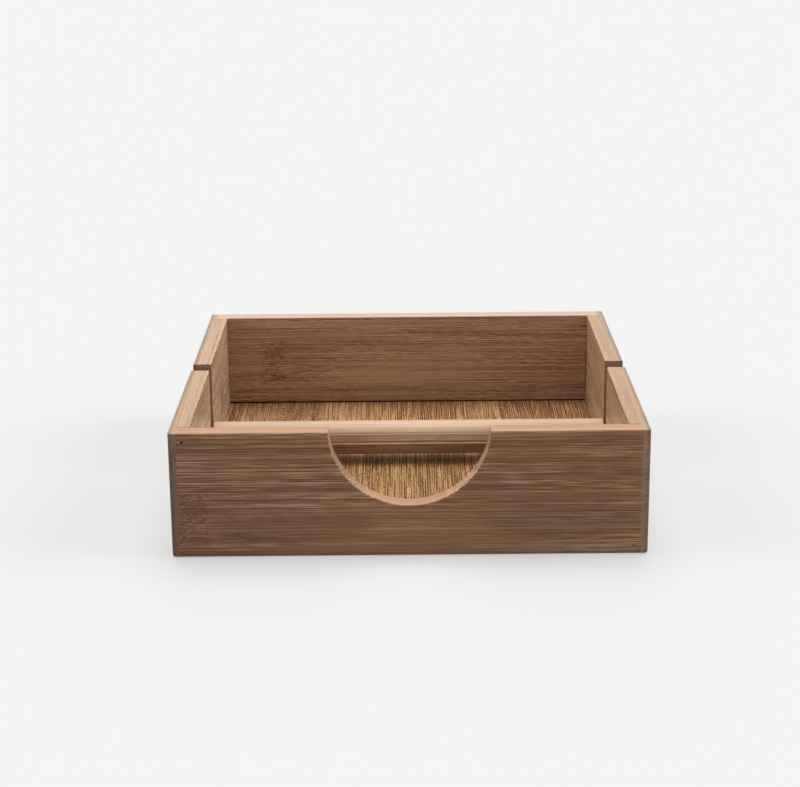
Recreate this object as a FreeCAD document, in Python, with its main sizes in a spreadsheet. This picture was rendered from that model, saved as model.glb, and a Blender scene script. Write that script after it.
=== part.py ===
import FreeCAD, Part
import math
import os
import Sketcher

# Flat napkin holder: a square bamboo tray, open at the top, with a half-round finger
# notch in its front and a hold-down bar that rides up and down in two side slots.
#
# Frame: the origin is the middle of the underside, +X is to the right, +Y to the back
# and +Z up. Lengths are in millimetres.

SIZES = [
    # alias, millimetres, what it is
    ("tray_width", 190.0, "outside, left to right"),
    ("tray_depth", 190.0, "outside, front to back"),
    ("tray_height", 52.0, "underside to rim"),
    ("wall_thickness", 8.0, "thickness of all four wall panels"),
    ("tongue_thickness", 3.2, "part of a side panel left outside its rabbets"),
    ("notch_radius", 32.0, "radius of the finger notch"),
    ("notch_centre_rise", 1.4, "height of the notch's centre over the rim"),
    ("floor_underside", 4.8, "height of the floor's lower face"),
    ("floor_thickness", 4.4, "thickness of the floor panel"),
    ("floor_headroom", 0.3, "gap between the floor and the top of its groove"),
    ("floor_edge_gap", 0.3, "gap between the floor's edge and the end of its groove"),
    ("groove_reach", 3.0, "how far the groove goes into a wall panel"),
    ("slot_width", 9.9, "width of the open slot in a side panel"),
    ("slot_base_height", 12.8, "height of the slot's lower end"),
    ("rail_side_gap", 0.45, "gap between the rail and each side of its slot"),
    ("rail_height", 5.6, "height of the bar's square rail"),
    ("rail_end_inset", 1.0, "how far the rail's ends stop inside the tray's outer faces"),
    ("cap_radius", 8.2, "radius of the bar's half-round cap"),
    ("cap_end_gap", 0.8, "gap between the cap's end and the side panel"),
    ("brad_radius", 0.55, "radius of a brad's shank"),
    ("brad_length", 19.0, "whole length of a brad, point included"),
    ("brad_point_length", 1.4, "length of a brad's point"),
    ("brad_sink", 0.8, "depth of a brad's end below the panel's face"),
    ("brad_edge_distance", 3.7, "from a brad's axis to the panel's upper or lower edge"),
    ("brad_fit_gap", 0.03, "gap all round a brad in its hole"),
    ("rim_arris_radius", 0.5, "rounding of the sanded edges at the rim and the notch"),
    ("outer_arris_radius", 1.2, "rounding of the outside corners and lower edges"),
    ("bar_arris_radius", 0.3, "rounding of the bar's sanded edges"),
]

# Places that several pieces share, as expressions on the sheet.
HALF_WIDTH = "(Sizes.tray_width / 2)"
HALF_DEPTH = "(Sizes.tray_depth / 2)"
INNER_HALF_WIDTH = "(Sizes.tray_width / 2 - Sizes.wall_thickness)"
INNER_HALF_DEPTH = "(Sizes.tray_depth / 2 - Sizes.wall_thickness)"
RABBET_HALF_WIDTH = "(Sizes.tray_width / 2 - Sizes.tongue_thickness)"
GROOVE_HALF_WIDTH = "(Sizes.tray_width / 2 - Sizes.wall_thickness + Sizes.groove_reach)"
GROOVE_HALF_DEPTH = "(Sizes.tray_depth / 2 - Sizes.wall_thickness + Sizes.groove_reach)"
GROOVE_TOP = "(Sizes.floor_underside + Sizes.floor_thickness + Sizes.floor_headroom)"
HALF_SLOT = "(Sizes.slot_width / 2)"
HALF_RAIL = "(Sizes.slot_width / 2 - Sizes.rail_side_gap)"
CAP_SEAT = "(Sizes.slot_base_height + Sizes.rail_height)"
# A brad runs up the middle of the shoulder between the tongue and the inner face.
BRAD_SIDE = "(Sizes.tray_width / 2 - (Sizes.wall_thickness + Sizes.tongue_thickness) / 2)"
BRAD_LOW = "Sizes.brad_edge_distance"
BRAD_HIGH = "(Sizes.tray_height - Sizes.brad_edge_distance)"
BRAD_HOLE_RADIUS = "(Sizes.brad_radius + Sizes.brad_fit_gap)"
BRAD_HOLE_LENGTH = "(Sizes.brad_sink + Sizes.brad_length + Sizes.brad_fit_gap)"
SHANK_LENGTH = "(Sizes.brad_length - Sizes.brad_point_length)"

HALF_TURN = 180.0
QUARTER_TURN = 90.0
TOUCH = 1e-6  # closer than this counts as lying on a plane

doc = FreeCAD.newDocument("napkin_holder")


def make_sheet():
    """Fill the sheet with the driving dimensions, one named cell each."""
    sheet = doc.addObject("Spreadsheet::Sheet", "Sizes")
    for row, (alias, millimetres, meaning) in enumerate(SIZES, start=1):
        sheet.set(f"A{row}", meaning)
        sheet.set(f"B{row}", str(millimetres))
        sheet.setAlias(f"B{row}", alias)
    doc.recompute()
    return sheet


def value(expression):
    """Work out an expression on the sheet as a plain number."""
    result = sizes.evalExpression(expression)
    return float(getattr(result, "Value", result))


def bind(item, **expressions):
    """Tie properties to the sheet; a double underscore in a name stands for a dot."""
    for name, expression in expressions.items():
        item.setExpression(name.replace("__", "."), expression)


def make_body(label, turn=0.0):
    """Start a body with a label of its own, turned about the tray's upright axis."""
    body = doc.addObject("PartDesign::Body", label)
    body.Label = label
    upright = FreeCAD.Rotation(FreeCAD.Vector(0, 0, 1), turn)
    body.Placement = FreeCAD.Placement(FreeCAD.Vector(0, 0, 0), upright)
    return body


def origin_plane(body, role):
    """Find one of the body's own origin planes."""
    return next(item for item in body.Origin.OriginFeatures if item.Role == role)


def make_sketch(body, name, role, offset=None):
    """Start a sketch on an origin plane, moved along the plane's normal by offset."""
    sketch = body.newObject("Sketcher::SketchObject", name)
    sketch.AttachmentSupport = [(origin_plane(body, role), "")]
    sketch.MapMode = "FlatFace"
    if offset is not None:
        bind(sketch, AttachmentOffset__Base__z=offset)
    return sketch


def pin_point(sketch, geometry, point, across, up):
    """Hold one point of a sketch at a place given by two expressions."""
    for kind, expression in (("DistanceX", across), ("DistanceY", up)):
        place = Sketcher.Constraint(kind, -1, 1, geometry, point, value(expression))
        index = sketch.addConstraint(place)
        sketch.setExpression(f"Constraints[{index}]", expression)


def add_rectangle(sketch, left, right, low, high):
    """Draw a rectangle whose four sides stand at the given expressions."""
    corners = [(left, low), (right, low), (right, high), (left, high)]
    places = [FreeCAD.Vector(value(across), value(up), 0) for across, up in corners]
    first = sketch.GeometryCount
    for index, place in enumerate(places):
        following = places[(index + 1) % len(places)]
        sketch.addGeometry(Part.LineSegment(place, following), False)
    for index in range(len(corners)):
        following = (index + 1) % len(corners)
        join = Sketcher.Constraint("Coincident", first + index, 2, first + following, 1)
        sketch.addConstraint(join)
    for index, (across, up) in enumerate(corners):
        pin_point(sketch, first + index, 1, across, up)


def add_circle(sketch, across, up, radius):
    """Draw a circle of the given radius about the given point."""
    centre = FreeCAD.Vector(value(across), value(up), 0)
    upright = FreeCAD.Vector(0, 0, 1)
    index = sketch.addGeometry(Part.Circle(centre, upright, value(radius)), False)
    pin_point(sketch, index, 3, across, up)
    size = sketch.addConstraint(Sketcher.Constraint("Radius", index, value(radius)))
    sketch.setExpression(f"Constraints[{size}]", radius)


def pad(body, sketch, length, symmetric=False, backwards=False):
    """Give a sketch its thickness."""
    feature = body.newObject("PartDesign::Pad", sketch.Name + "_pad")
    feature.Profile = sketch
    feature.SideType = "Symmetric" if symmetric else "One side"
    feature.Reversed = backwards
    bind(feature, Length=length)
    doc.recompute()
    return feature


def cut(body, sketch, length=None):
    """Cut a sketch into the body: to a depth, or right through both ways."""
    before = body.Shape.Volume
    feature = body.newObject("PartDesign::Pocket", sketch.Name + "_cut")
    feature.Profile = sketch
    if length is None:
        feature.Type = "ThroughAll"
        feature.SideType = "Symmetric"
    else:
        feature.Type = "Length"
        bind(feature, Length=length)
    doc.recompute()
    if body.Shape.Volume >= before:
        raise RuntimeError(f"{feature.Name} removed no wood")
    return feature


def mirror_front_to_back(body, feature):
    """Repeat a cut at the other end of the body."""
    before = body.Shape.Volume
    mirrored = body.newObject("PartDesign::Mirrored", feature.Name + "_mirrored")
    mirrored.Originals = [feature]
    mirrored.MirrorPlane = (origin_plane(body, "XZ_Plane"), [""])
    body.Tip = mirrored
    doc.recompute()
    if body.Shape.Volume >= before:
        raise RuntimeError(f"{mirrored.Name} removed no wood")


def lies_on(edge, axis, place):
    """Say whether a whole edge lies where one of its coordinates has one value."""
    box = edge.BoundBox
    low = getattr(box, axis + "Min")
    high = getattr(box, axis + "Max")
    return abs(low - place) < TOUCH and abs(high - place) < TOUCH


def is_arc(edge, radius):
    """Say whether an edge is part of a circle of the given radius."""
    return hasattr(edge.Curve, "Radius") and abs(edge.Curve.Radius - radius) < TOUCH


def round_edges(body, name, radius, wanted):
    """Round every edge of the body's last feature that the test picks out."""
    base = body.Tip
    edges = [
        f"Edge{number}" for number, edge in enumerate(base.Shape.Edges, start=1) if wanted(edge)
    ]
    feature = body.newObject("PartDesign::Fillet", f"{body.Name}_{name}")
    feature.Base = (base, edges)
    bind(feature, Radius=radius)
    doc.recompute()


def make_cross_panel(label, turn, notched):
    """Make a panel that sits between the side panels' tongues, groove and holes included.

    It is drawn as the front panel; the back panel is the same board turned round.
    """
    body = make_body(label, turn)
    board = make_sketch(body, label + "_board", "XZ_Plane", HALF_DEPTH)
    add_rectangle(board, "-" + RABBET_HALF_WIDTH, RABBET_HALF_WIDTH, "0", "Sizes.tray_height")
    pad(body, board, "Sizes.wall_thickness", backwards=True)

    groove = make_sketch(body, label + "_groove", "YZ_Plane")
    add_rectangle(
        groove, "-" + GROOVE_HALF_DEPTH, "-" + INNER_HALF_DEPTH, "Sizes.floor_underside", GROOVE_TOP
    )
    cut(body, groove)

    holes = make_sketch(body, label + "_brad_holes", "XZ_Plane")
    for side in ("-" + BRAD_SIDE, BRAD_SIDE):
        for height in (BRAD_LOW, BRAD_HIGH):
            add_circle(holes, side, height, BRAD_HOLE_RADIUS)
    cut(body, holes)

    if notched:
        notch = make_sketch(body, label + "_notch", "XZ_Plane")
        centre_height = "Sizes.tray_height + Sizes.notch_centre_rise"
        add_circle(notch, "0", centre_height, "Sizes.notch_radius")
        cut(body, notch)

    outer = -value(HALF_DEPTH)
    inner = -value(INNER_HALF_DEPTH)
    rim = value("Sizes.tray_height")
    notch_edge = value("Sizes.notch_radius")

    def is_lower(edge):
        return lies_on(edge, "Y", outer) and lies_on(edge, "Z", 0)

    def is_upper(edge):
        on_face = lies_on(edge, "Y", outer) or lies_on(edge, "Y", inner)
        return on_face and (lies_on(edge, "Z", rim) or is_arc(edge, notch_edge))

    round_edges(body, "lower_arris", "Sizes.outer_arris_radius", is_lower)
    round_edges(body, "rim_arris", "Sizes.rim_arris_radius", is_upper)
    return body


def make_side_panel(label, turn):
    """Make a side panel: two rabbets, a floor groove, the bar's slot and the brad holes.

    It is drawn as the left panel; the right panel is the same board turned round.
    """
    body = make_body(label, turn)
    board = make_sketch(body, label + "_board", "YZ_Plane", "-" + HALF_WIDTH)
    add_rectangle(board, "-" + HALF_DEPTH, HALF_DEPTH, "0", "Sizes.tray_height")
    pad(body, board, "Sizes.wall_thickness")

    rabbets = make_sketch(body, label + "_rabbets", "XY_Plane")
    inside = "-" + INNER_HALF_WIDTH
    shoulder = "-" + RABBET_HALF_WIDTH
    add_rectangle(rabbets, shoulder, inside, "-" + HALF_DEPTH, "-" + INNER_HALF_DEPTH)
    add_rectangle(rabbets, shoulder, inside, INNER_HALF_DEPTH, HALF_DEPTH)
    cut(body, rabbets)

    groove = make_sketch(body, label + "_groove", "XZ_Plane")
    add_rectangle(groove, "-" + GROOVE_HALF_WIDTH, inside, "Sizes.floor_underside", GROOVE_TOP)
    cut(body, groove)

    slot = make_sketch(body, label + "_slot", "YZ_Plane")
    add_rectangle(slot, "-" + HALF_SLOT, HALF_SLOT, "Sizes.slot_base_height", "Sizes.tray_height")
    cut(body, slot)

    holes = make_sketch(body, label + "_brad_holes", "XZ_Plane", HALF_DEPTH)
    for height in (BRAD_LOW, BRAD_HIGH):
        add_circle(holes, "-" + BRAD_SIDE, height, BRAD_HOLE_RADIUS)
    front_holes = cut(body, holes, BRAD_HOLE_LENGTH)
    mirror_front_to_back(body, front_holes)

    outer = -value(HALF_WIDTH)
    inner = -value(INNER_HALF_WIDTH)
    end = value(HALF_DEPTH)
    rim = value("Sizes.tray_height")
    corner = value("Sizes.outer_arris_radius")

    def at_end(edge):
        return lies_on(edge, "Y", -end) or lies_on(edge, "Y", end)

    def is_outside_corner(edge):
        upright = lies_on(edge, "X", outer) and at_end(edge)
        return upright or (lies_on(edge, "Z", 0) and (lies_on(edge, "X", outer) or at_end(edge)))

    def is_upper(edge):
        on_side = lies_on(edge, "X", outer) or lies_on(edge, "X", inner)
        return lies_on(edge, "Z", rim) and (on_side or at_end(edge) or is_arc(edge, corner))

    round_edges(body, "corners", "Sizes.outer_arris_radius", is_outside_corner)
    round_edges(body, "rim_arris", "Sizes.rim_arris_radius", is_upper)
    return body


def make_floor_panel():
    """Make the floor, which lies in the four walls' grooves with a gap all round."""
    body = make_body("floor_panel")
    board = make_sketch(body, "floor_board", "XY_Plane", "Sizes.floor_underside")
    half_width = f"({GROOVE_HALF_WIDTH} - Sizes.floor_edge_gap)"
    half_depth = f"({GROOVE_HALF_DEPTH} - Sizes.floor_edge_gap)"
    add_rectangle(board, "-" + half_width, half_width, "-" + half_depth, half_depth)
    pad(body, board, "Sizes.floor_thickness")
    return body


def make_bar_rail():
    """Make the bar's square rail, whose ends stand in the slots and carry the bar."""
    body = make_body("bar_rail")
    section = make_sketch(body, "rail_section", "YZ_Plane")
    add_rectangle(section, "-" + HALF_RAIL, HALF_RAIL, "Sizes.slot_base_height", CAP_SEAT)
    pad(body, section, "Sizes.tray_width - 2 * Sizes.rail_end_inset", symmetric=True)

    underside = value("Sizes.slot_base_height")
    reach = value(HALF_RAIL)

    def is_sanded(edge):
        on_side = lies_on(edge, "Y", -reach) or lies_on(edge, "Y", reach)
        return on_side and lies_on(edge, "Z", underside)

    round_edges(body, "arris", "Sizes.bar_arris_radius", is_sanded)
    return body


def make_bar_cap():
    """Make the bar's half-round cap, which lies flat on the rail between the walls."""
    body = make_body("bar_cap")
    section = make_sketch(body, "cap_section", "YZ_Plane")
    centre = FreeCAD.Vector(0, value(CAP_SEAT), 0)
    radius = value("Sizes.cap_radius")
    crown = Part.Circle(centre, FreeCAD.Vector(0, 0, 1), radius)
    reach = FreeCAD.Vector(radius, 0, 0)
    arc = section.addGeometry(Part.ArcOfCircle(crown, 0, math.pi), False)
    base = section.addGeometry(Part.LineSegment(centre - reach, centre + reach), False)
    section.addConstraint(Sketcher.Constraint("Coincident", arc, 2, base, 1))
    section.addConstraint(Sketcher.Constraint("Coincident", arc, 1, base, 2))
    section.addConstraint(Sketcher.Constraint("Horizontal", base))
    section.addConstraint(Sketcher.Constraint("PointOnObject", arc, 3, base))
    pin_point(section, arc, 3, "0", CAP_SEAT)
    size = section.addConstraint(Sketcher.Constraint("Radius", arc, radius))
    section.setExpression(f"Constraints[{size}]", "Sizes.cap_radius")
    pad(body, section, f"2 * ({INNER_HALF_WIDTH} - Sizes.cap_end_gap)", symmetric=True)

    seat = value(CAP_SEAT)

    def is_sanded(edge):
        along_bar = lies_on(edge, "Y", -radius) or lies_on(edge, "Y", radius)
        return along_bar and lies_on(edge, "Z", seat)

    round_edges(body, "arris", "Sizes.bar_arris_radius", is_sanded)
    return body


def make_brad_part(kind, name, side, outside, inwards, height, start):
    """Make a brad's shank or point, lying front to back, start into the panel's face."""
    piece = doc.addObject(kind, name)
    lay_down = FreeCAD.Rotation(FreeCAD.Vector(1, 0, 0), -inwards * QUARTER_TURN)
    piece.Placement = FreeCAD.Placement(FreeCAD.Vector(0, 0, 0), lay_down)
    along = f"{outside} + {inwards} * ({start})"
    bind(piece, Placement__Base__x=side, Placement__Base__y=along, Placement__Base__z=height)
    return piece


def make_brads(label, side, outside, inwards):
    """Make the upper and lower brad of one corner as two separate solids.

    outside is the face that they are driven through, and inwards is 1 or -1, the way
    along Y that leads into the tray.
    """
    pieces = []
    for level, height in (("low", BRAD_LOW), ("high", BRAD_HIGH)):
        where = (side, outside, inwards, height)
        name = f"{label}_{level}"
        shank = make_brad_part("Part::Cylinder", name + "_shank", *where, "Sizes.brad_sink")
        bind(shank, Radius="Sizes.brad_radius", Height=SHANK_LENGTH)
        point_start = f"Sizes.brad_sink + {SHANK_LENGTH}"
        point = make_brad_part("Part::Cone", name + "_point", *where, point_start)
        point.Radius2 = 0
        bind(point, Radius1="Sizes.brad_radius", Height="Sizes.brad_point_length")
        pieces += [shank, point]
    group = doc.addObject("Part::MultiFuse", label)
    group.Label = label
    group.Shapes = pieces
    return group


def check_document():
    """Stop if any object of the document has failed without saying so."""
    for item in doc.Objects:
        if "Invalid" in item.State or "Error" in item.State:
            raise RuntimeError(f"{item.Label} failed: {item.State}")


def write_parts(pieces):
    """Write each piece's solids to a STEP file named by its label."""
    os.makedirs("parts", exist_ok=True)
    for piece in pieces:
        shape = piece.Shape
        if shape.isNull() or not shape.isValid():
            raise RuntimeError(f"{piece.Label} has no valid shape")
        shape.exportStep(f"parts/{piece.Label}.step")
        box = shape.optimalBoundingBox(True, False)
        print(
            f"{piece.Label}: {len(shape.Solids)} solid(s), {shape.Volume:.1f} mm3, "
            f"x {box.XMin:.2f} to {box.XMax:.2f}, y {box.YMin:.2f} to {box.YMax:.2f}, "
            f"z {box.ZMin:.2f} to {box.ZMax:.2f}"
        )


sizes = make_sheet()
parts = [
    make_cross_panel("front_panel", 0.0, notched=True),
    make_cross_panel("back_panel", HALF_TURN, notched=False),
    make_side_panel("left_side_panel", 0.0),
    make_side_panel("right_side_panel", HALF_TURN),
    make_floor_panel(),
    make_bar_rail(),
    make_bar_cap(),
    make_brads("front_left_brads", "-" + BRAD_SIDE, "-" + HALF_DEPTH, 1),
    make_brads("front_right_brads", BRAD_SIDE, "-" + HALF_DEPTH, 1),
    make_brads("back_left_brads", "-" + BRAD_SIDE, HALF_DEPTH, -1),
    make_brads("back_right_brads", BRAD_SIDE, HALF_DEPTH, -1),
]
doc.recompute()
check_document()
write_parts(parts)
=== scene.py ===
"""Dress a flat bamboo napkin holder: bamboo finishes, the bar's cap, filled brad holes, studio.

Meshes are in metres. Finishes work in millimetres, because their figure is that fine.
"""

import logging
import math
from dataclasses import dataclass, replace
from enum import Enum

import bmesh
import bpy
from bmesh.types import BMEdge, BMesh, BMVert
from bpy.types import ColorRamp, Material, Node, NodeSocket, Object, World
from mathutils import Matrix, Vector


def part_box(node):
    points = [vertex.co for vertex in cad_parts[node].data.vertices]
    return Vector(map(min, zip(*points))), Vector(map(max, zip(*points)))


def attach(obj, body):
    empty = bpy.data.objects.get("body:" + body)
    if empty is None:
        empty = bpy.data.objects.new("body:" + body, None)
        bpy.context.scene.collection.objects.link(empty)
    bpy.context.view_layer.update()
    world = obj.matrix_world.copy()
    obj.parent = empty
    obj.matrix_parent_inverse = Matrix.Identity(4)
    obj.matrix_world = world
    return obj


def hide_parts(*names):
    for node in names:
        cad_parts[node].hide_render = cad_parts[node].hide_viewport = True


LOG = logging.getLogger("napkin_holder")
MM = 0.001

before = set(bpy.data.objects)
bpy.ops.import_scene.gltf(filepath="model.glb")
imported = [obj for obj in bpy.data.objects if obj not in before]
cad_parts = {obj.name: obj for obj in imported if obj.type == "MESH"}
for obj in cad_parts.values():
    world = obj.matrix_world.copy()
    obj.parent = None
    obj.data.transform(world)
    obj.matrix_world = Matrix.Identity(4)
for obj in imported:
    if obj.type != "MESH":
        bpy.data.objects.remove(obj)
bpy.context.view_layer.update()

Colour = tuple[float, float, float, float]
Cell = tuple[float, float, float]
Span = tuple[float, float]

WHITE: Colour = (1.0, 1.0, 1.0, 1.0)
SMOOTH_BELOW = math.radians(34)
EASE_STEPS = 3


def paint(red: int, green: int, blue: int) -> Colour:
    """Turn a paint chart's red, green and blue, 0 to 255, into the light that it gives back.

    Args:
        red: The chart's red.
        green: The chart's green.
        blue: The chart's blue.

    Returns:
        The linear colour, with an alpha of 1.
    """
    straight_below, slope, lift, power = 0.04045, 12.92, 0.055, 2.4
    shares = [channel / 255 for channel in (red, green, blue)]
    linear = [
        share / slope if share <= straight_below else ((share + lift) / (1 + lift)) ** power
        for share in shares
    ]
    return (*linear, 1.0)


def grey(level: float) -> Colour:
    """Give a plain grey."""
    return (level, level, level, 1.0)


@dataclass(frozen=True)
class Reading:
    """A number that varies over a surface. Sums written on it add the Math nodes."""

    graph: "NodeGraph"
    socket: NodeSocket

    def __add__(self, other: "Reading | float") -> "Reading":
        """Add."""
        return self.graph.sum("ADD", self, other)

    def __sub__(self, other: "Reading | float") -> "Reading":
        """Subtract."""
        return self.graph.sum("SUBTRACT", self, other)

    def __rsub__(self, other: float) -> "Reading":
        """Subtract this from a number."""
        return self.graph.sum("SUBTRACT", other, self)

    def __mul__(self, other: "Reading | float") -> "Reading":
        """Multiply."""
        return self.graph.sum("MULTIPLY", self, other)

    def __truediv__(self, other: "Reading | float") -> "Reading":
        """Divide."""
        return self.graph.sum("DIVIDE", self, other)

    def __rtruediv__(self, other: float) -> "Reading":
        """Divide a number by this."""
        return self.graph.sum("DIVIDE", other, self)

    def __abs__(self) -> "Reading":
        """Drop the sign."""
        return self.graph.sum("ABSOLUTE", self)

    __radd__ = __add__
    __rmul__ = __mul__

    def floor(self) -> "Reading":
        """Round down to a whole number."""
        return self.graph.sum("FLOOR", self)

    def nearest(self) -> "Reading":
        """Round to the nearest whole number."""
        return (self + 0.5).floor()

    def larger(self, other: "Reading | float") -> "Reading":
        """Keep the larger of two."""
        return self.graph.sum("MAXIMUM", self, other)

    def rise(self, start: float, end: float) -> "Reading":
        """Climb softly from 0 at start to 1 at end.

        Args:
            start: Where the climb begins.
            end: Where it is done.

        Returns:
            A reading from 0 to 1.
        """
        settings = {"interpolation_type": "SMOOTHSTEP"}
        links = {"Value": self, "From Min": start, "From Max": end}
        return self.graph.read("ShaderNodeMapRange", settings, links)

    def window(self, low: float, high: float, soft: float) -> "Reading":
        """Be 1 between low and high, and fall to 0 over a soft edge on either side."""
        return self.rise(low - soft, low) * (1 - self.rise(high, high + soft))


Amount = Reading | float


class NodeGraph:
    """The node tree of one material or world, and the one place where its nodes are made."""

    def __init__(self, owner: Material | World) -> None:
        """Empty the owner's tree.

        Args:
            owner: The material or world that the tree belongs to.
        """
        owner.use_nodes = True
        self.tree = owner.node_tree
        self.tree.nodes.clear()

    def node(self, kind: str, settings: dict, links: dict) -> Node:
        """Make any node: its settings first, then what its sockets hold or are fed by.

        Args:
            kind: The node's type.
            settings: The node's own properties; stops is a ramp's list of (place, colour).
            links: A value, a socket or a reading for each input, by its name or number.

        Returns:
            The new node.
        """
        made = self.tree.nodes.new(kind)
        for name, setting in settings.items():
            if name == "stops":
                self._set_stops(made.color_ramp, setting)
            else:
                setattr(made, name, setting)
        for name, feed in links.items():
            feed = feed.socket if isinstance(feed, Reading) else feed
            if isinstance(feed, NodeSocket):
                self.tree.links.new(feed, made.inputs[name])
            else:
                made.inputs[name].default_value = feed
        return made

    @staticmethod
    def _set_stops(ramp: ColorRamp, stops: list[tuple[float, Colour]]) -> None:
        """Give a colour ramp its stops, two of which it already has.

        Args:
            ramp: The ramp.
            stops: The place and the colour of each stop, in order.
        """
        while len(ramp.elements) < len(stops):
            ramp.elements.new(1.0)
        for element, (place, colour) in zip(ramp.elements, stops):
            element.position = place
            element.color = colour

    def read(self, kind: str, settings: dict, links: dict, output: int | str = 0) -> Reading:
        """Make a node and take one of its outputs as a reading."""
        return Reading(self, self.node(kind, settings, links).outputs[output])

    def sum(self, operation: str, *terms: Amount) -> Reading:
        """Make a Math node on one or two terms."""
        return self.read("ShaderNodeMath", {"operation": operation}, dict(enumerate(terms)))

    def split(self, vector: NodeSocket) -> list[Reading]:
        """Take a vector's three parts."""
        parts = self.node("ShaderNodeSeparateXYZ", {}, {0: vector})
        return [Reading(self, output) for output in parts.outputs]

    def ways(self) -> tuple[Reading, ...]:
        """Read the place on the piece along X, Y and Z, in millimetres."""
        source = self.node("ShaderNodeTexCoord", {}, {})
        return tuple(way * (1 / MM) for way in self.split(source.outputs["Object"]))

    def facings(self) -> tuple[Reading, ...]:
        """Read how squarely the face looks along X, Y and Z, each from 0 to 1."""
        source = self.node("ShaderNodeTexCoord", {}, {})
        return tuple(abs(part) for part in self.split(source.outputs["Normal"]))

    def in_cells(self, place: tuple, cell: tuple) -> NodeSocket:
        """Count a place in cells of a size along each way, as one vector."""
        counts = [way * (1 / size) for way, size in zip(place, cell)]
        return self.node("ShaderNodeCombineXYZ", {}, dict(enumerate(counts))).outputs[0]

    def noise(self, place: tuple, cell: Cell, detail: float = 1.0) -> Reading:
        """Read a cloudy noise whose cells have the given size along each of three ways.

        Args:
            place: Three readings.
            cell: The cells' size along each, in the same unit.
            detail: How many finer layers are added.

        Returns:
            A reading about 0, mostly between -0.2 and 0.2.
        """
        vector = self.in_cells(place, cell)
        links = {"Vector": vector, "Scale": 1.0, "Detail": detail}
        return self.read("ShaderNodeTexNoise", {"noise_dimensions": "3D"}, links) - 0.5

    def dots(self, place: tuple, cell: float) -> Reading:
        """Find the cut ends of the fibre bundles: one dot in each square cell.

        Args:
            place: Two readings.
            cell: The cells' size.

        Returns:
            A reading from 0 between the dots to 1 inside them.
        """
        core, rim = 0.1, 0.42
        settings = {"feature": "F1", "voronoi_dimensions": "2D"}
        links = {"Vector": self.in_cells(place, (cell, cell)), "Scale": 1.0, "Randomness": 0.8}
        return 1 - self.read("ShaderNodeTexVoronoi", settings, links).rise(core, rim)

    def lot(self, number: Reading) -> Reading:
        """Draw a fixed lot from -0.5 to 0.5 for each whole number."""
        return self.read("ShaderNodeTexWhiteNoise", {"noise_dimensions": "1D"}, {"W": number}) - 0.5

    def ramp(self, where: Reading, stops: list[tuple[float, Colour]]) -> NodeSocket:
        """Pass a reading through a ramp of colours."""
        return self.node("ShaderNodeValToRGB", {"stops": stops}, {"Fac": where}).outputs[0]

    def mix(self, share: Amount, first: object, second: object) -> NodeSocket:
        """Mix two colours."""
        settings = {"data_type": "RGBA"}
        return self.node("ShaderNodeMix", settings, {0: share, 6: first, 7: second}).outputs[2]

    def shade(self, colour: object, strength: Reading) -> NodeSocket:
        """Make a colour darker or lighter by a varying strength."""
        links = {0: colour, "Scale": strength}
        return self.node("ShaderNodeVectorMath", {"operation": "SCALE"}, links).outputs[0]

    def coat(self, surface: dict, relief: Reading, strength: float, height: float) -> None:
        """End a material with a bumped shader that leads to the output.

        Args:
            surface: What each of the shader's sockets holds or is fed by.
            relief: The relief.
            strength: How strongly the relief shows.
            height: The relief's height, in metres.
        """
        links = {"Strength": strength, "Distance": height, "Height": relief}
        bump = self.node("ShaderNodeBump", {}, links)
        channels = {**surface, "Normal": bump.outputs[0]}
        shader = self.node("ShaderNodeBsdfPrincipled", {}, channels)
        self.node("ShaderNodeOutputMaterial", {}, {0: shader.outputs[0]})


class Lay(Enum):
    """How a board lies: the axes along its fibres, across its strips and through it."""

    CROSS_WALL = (0, 2, 1)
    SIDE_WALL = (1, 2, 0)
    FLOOR = (1, 0, 2)
    BAR = (0, 1, 2)


@dataclass(frozen=True)
class Board:
    """Where a point lies in its board, in millimetres, and how its face looks.

    The strips are counted across the board. A strip's number carries the board's seed, and
    the shifted place along it is moved on by a lot, so that no two strips are alike.
    """

    graph: NodeGraph
    along: Reading
    across: Reading
    depth: Reading
    height: Reading
    end_grain: Reading
    edge_grain: Reading
    strip_place: Reading
    strip_number: Reading
    shifted: Reading

    @property
    def place(self) -> tuple[Reading, Reading, Reading]:
        """Give the place along the fibres, across the strips and through the board."""
        return self.along, self.across, self.depth

    @property
    def shifted_place(self) -> tuple[Reading, Reading, Reading]:
        """Give the place with its strip's own shift along the fibres."""
        return self.shifted, self.across, self.depth


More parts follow.
